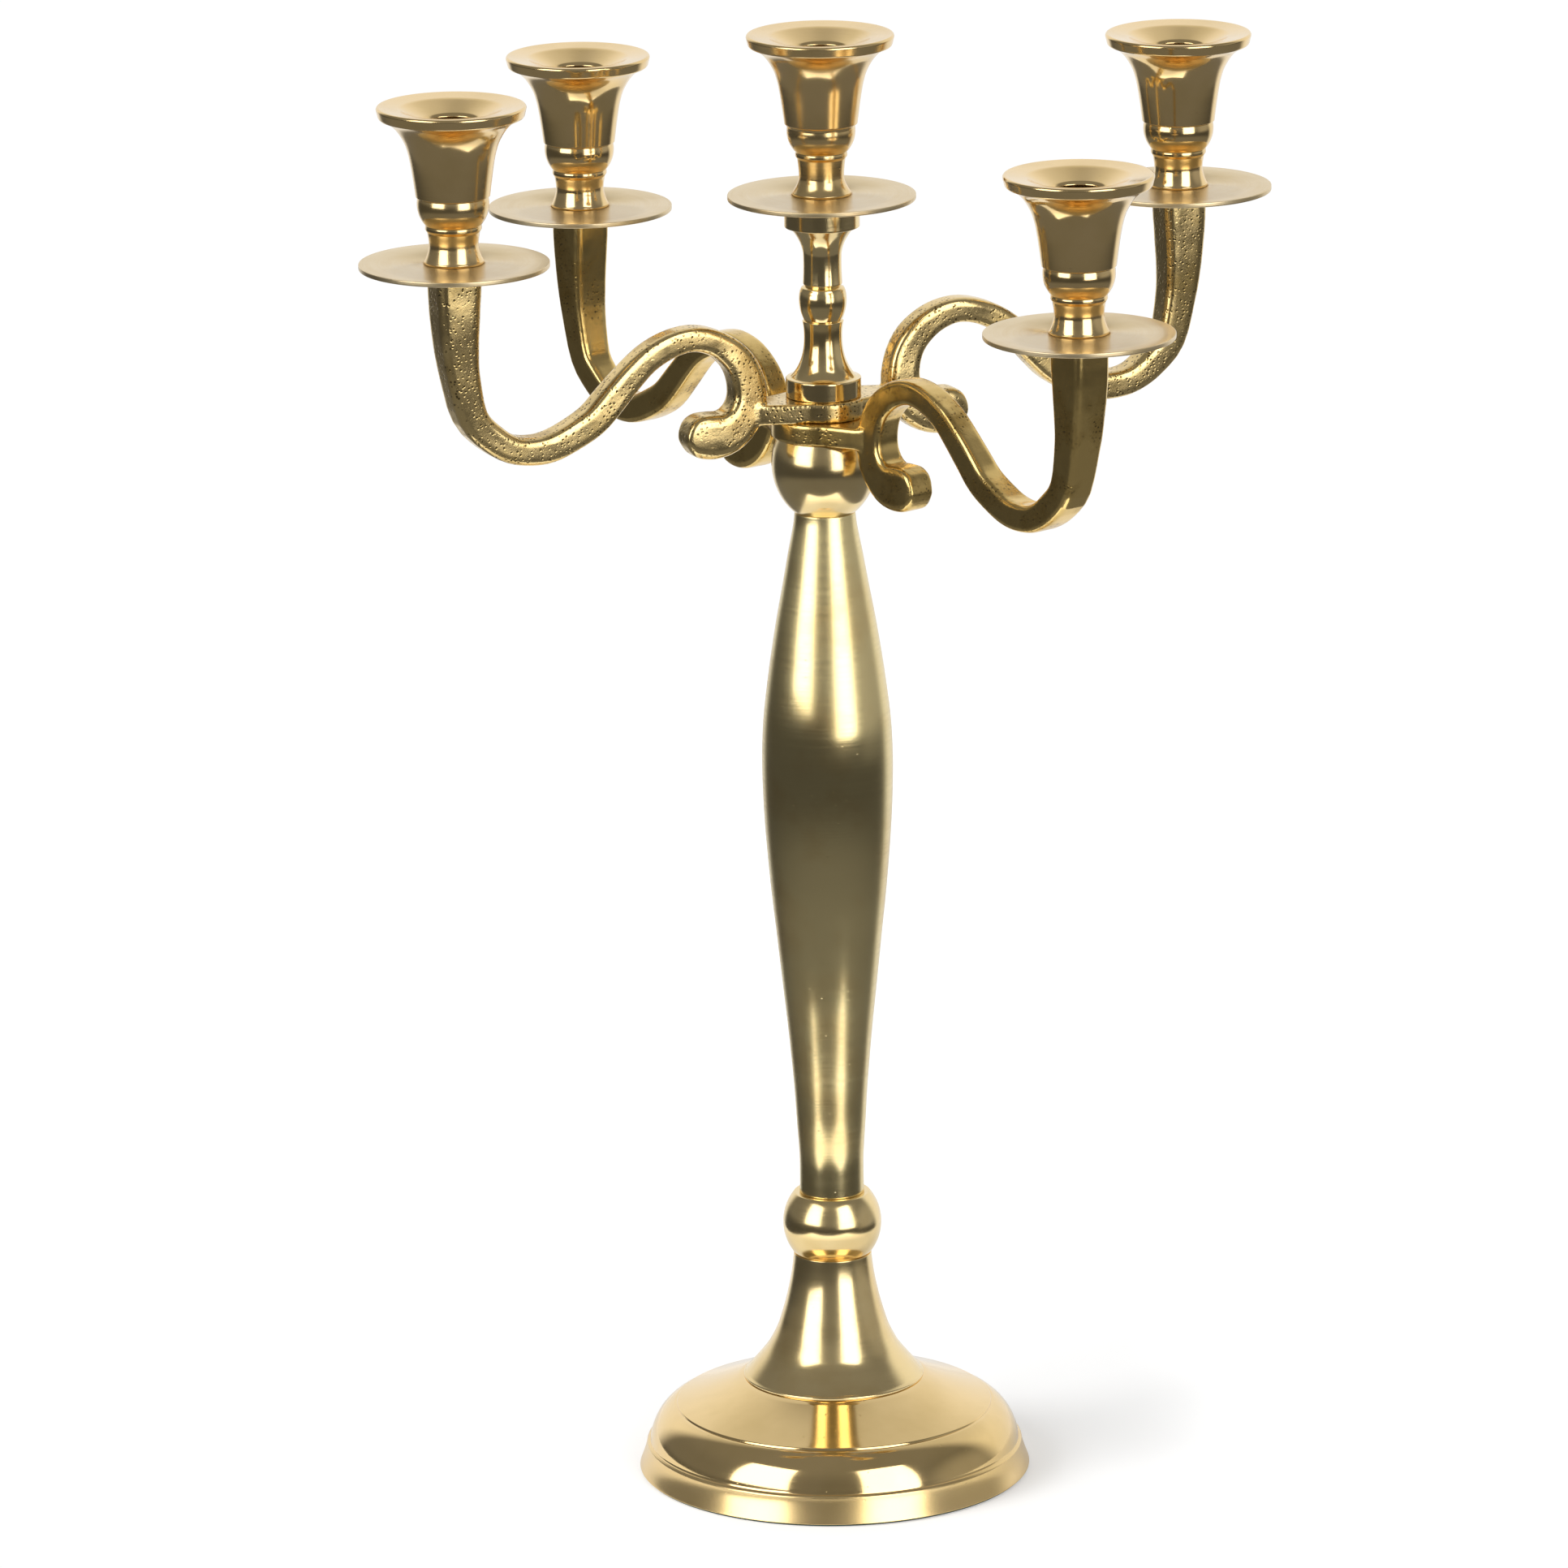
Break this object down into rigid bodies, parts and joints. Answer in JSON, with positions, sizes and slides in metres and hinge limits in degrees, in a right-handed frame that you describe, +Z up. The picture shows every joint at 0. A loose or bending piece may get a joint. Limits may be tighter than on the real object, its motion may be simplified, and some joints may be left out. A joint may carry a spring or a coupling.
{
  "type": "tabletop candelabra",
  "caption": "Tabletop candelabra with a domed foot, a turned tapering stem, crossed scroll-arm castings that swivel on the stem, and flared candle cups over flat drip pans.",
  "frame": {"origin": "centre of the foot, on the table top", "axes": "+Z up along the stem; -Y towards the viewer, +X to the viewer's right"},
  "size_m": [0.3656, 0.326, 0.6],
  "materials": {
    "polished_brass": "turned and polished, pale gold",
    "cast_brass": "cast and buffed, satin with fine pits",
    "zinc_steel": "zinc plated",
    "felt": "dark felt"
  },
  "bodies": {
    "stem": {"foot": "polished_brass", "felt_ring": "felt", "foot_washer": "zinc_steel", "foot_nut": "zinc_steel", "tie_rod": "zinc_steel", "neck": "polished_brass", "lower_knob": "polished_brass", "shaft": "polished_brass", "upper_knob": "polished_brass", "spindle": "polished_brass"},
    "lower_casting": {"lower_arms": "cast_brass"},
    "upper_casting": {"upper_arms": "cast_brass"},
    "pan_middle": {"drip_pan_middle": "polished_brass"},
    "holder_middle": {"cup_middle": "polished_brass", "stud_middle": "zinc_steel"},
    "pan_front_left": {"drip_pan_front_left": "polished_brass"},
    "holder_front_left": {"cup_front_left": "polished_brass", "stud_front_left": "zinc_steel"},
    "pan_back_right": {"drip_pan_back_right": "polished_brass"},
    "holder_back_right": {"cup_back_right": "polished_brass", "stud_back_right": "zinc_steel"},
    "pan_front_right": {"drip_pan_front_right": "polished_brass"},
    "holder_front_right": {"cup_front_right": "polished_brass", "stud_front_right": "zinc_steel"},
    "pan_back_left": {"drip_pan_back_left": "polished_brass"},
    "holder_back_left": {"cup_back_left": "polished_brass", "stud_back_left": "zinc_steel"}
  },
  "joints": [
    {"name": "lower_swivel", "type": "hinge", "parent": "stem", "child": "lower_casting", "pos_m": [0, 0, 0.436], "axis": [0, 0, 1], "continuous": true},
    {"name": "upper_swing", "type": "hinge", "parent": "lower_casting", "child": "upper_casting", "pos_m": [0, 0, 0.4445], "axis": [0, 0, 1], "range_deg": [-45, 72]},
    {"name": "cup_turn_middle", "type": "hinge", "parent": "stem", "child": "pan_middle", "pos_m": [0, 0, 0.533], "axis": [0, 0, 1], "range_deg": [0, 2160]},
    {"name": "cup_rise_middle", "type": "slide", "parent": "pan_middle", "child": "holder_middle", "axis": [0, 0, 1], "range_m": [0, 0.0075]},
    {"name": "cup_turn_front_left", "type": "hinge", "parent": "upper_casting", "child": "pan_front_left", "pos_m": [-0.14501, -0.06762, 0.5211], "axis": [0, 0, 1], "range_deg": [0, 2160]},
    {"name": "cup_rise_front_left", "type": "slide", "parent": "pan_front_left", "child": "holder_front_left", "axis": [0, 0, 1], "range_m": [0, 0.0075]},
    {"name": "cup_turn_back_right", "type": "hinge", "parent": "upper_casting", "child": "pan_back_right", "pos_m": [0.14501, 0.06762, 0.5211], "axis": [0, 0, 1], "range_deg": [0, 2160]},
    {"name": "cup_rise_back_right", "type": "slide", "parent": "pan_back_right", "child": "holder_back_right", "axis": [0, 0, 1], "range_m": [0, 0.0075]},
    {"name": "cup_turn_front_right", "type": "hinge", "parent": "lower_casting", "child": "pan_front_right", "pos_m": [0.0996, -0.12522, 0.5031], "axis": [0, 0, 1], "range_deg": [0, 2160]},
    {"name": "cup_rise_front_right", "type": "slide", "parent": "pan_front_right", "child": "holder_front_right", "axis": [0, 0, 1], "range_m": [0, 0.0075]},
    {"name": "cup_turn_back_left", "type": "hinge", "parent": "lower_casting", "child": "pan_back_left", "pos_m": [-0.0996, 0.12522, 0.5031], "axis": [0, 0, 1], "range_deg": [0, 2160]},
    {"name": "cup_rise_back_left", "type": "slide", "parent": "pan_back_left", "child": "holder_back_left", "axis": [0, 0, 1], "range_m": [0, 0.0075]}
  ],
  "couplings": [
    {"joint": "cup_rise_middle", "follows": "cup_turn_middle", "m_per_rad": 0.00019894},
    {"joint": "cup_rise_front_left", "follows": "cup_turn_front_left", "m_per_rad": 0.00019894},
    {"joint": "cup_rise_back_right", "follows": "cup_turn_back_right", "m_per_rad": 0.00019894},
    {"joint": "cup_rise_front_right", "follows": "cup_turn_front_right", "m_per_rad": 0.00019894},
    {"joint": "cup_rise_back_left", "follows": "cup_turn_back_left", "m_per_rad": 0.00019894}
  ]
}
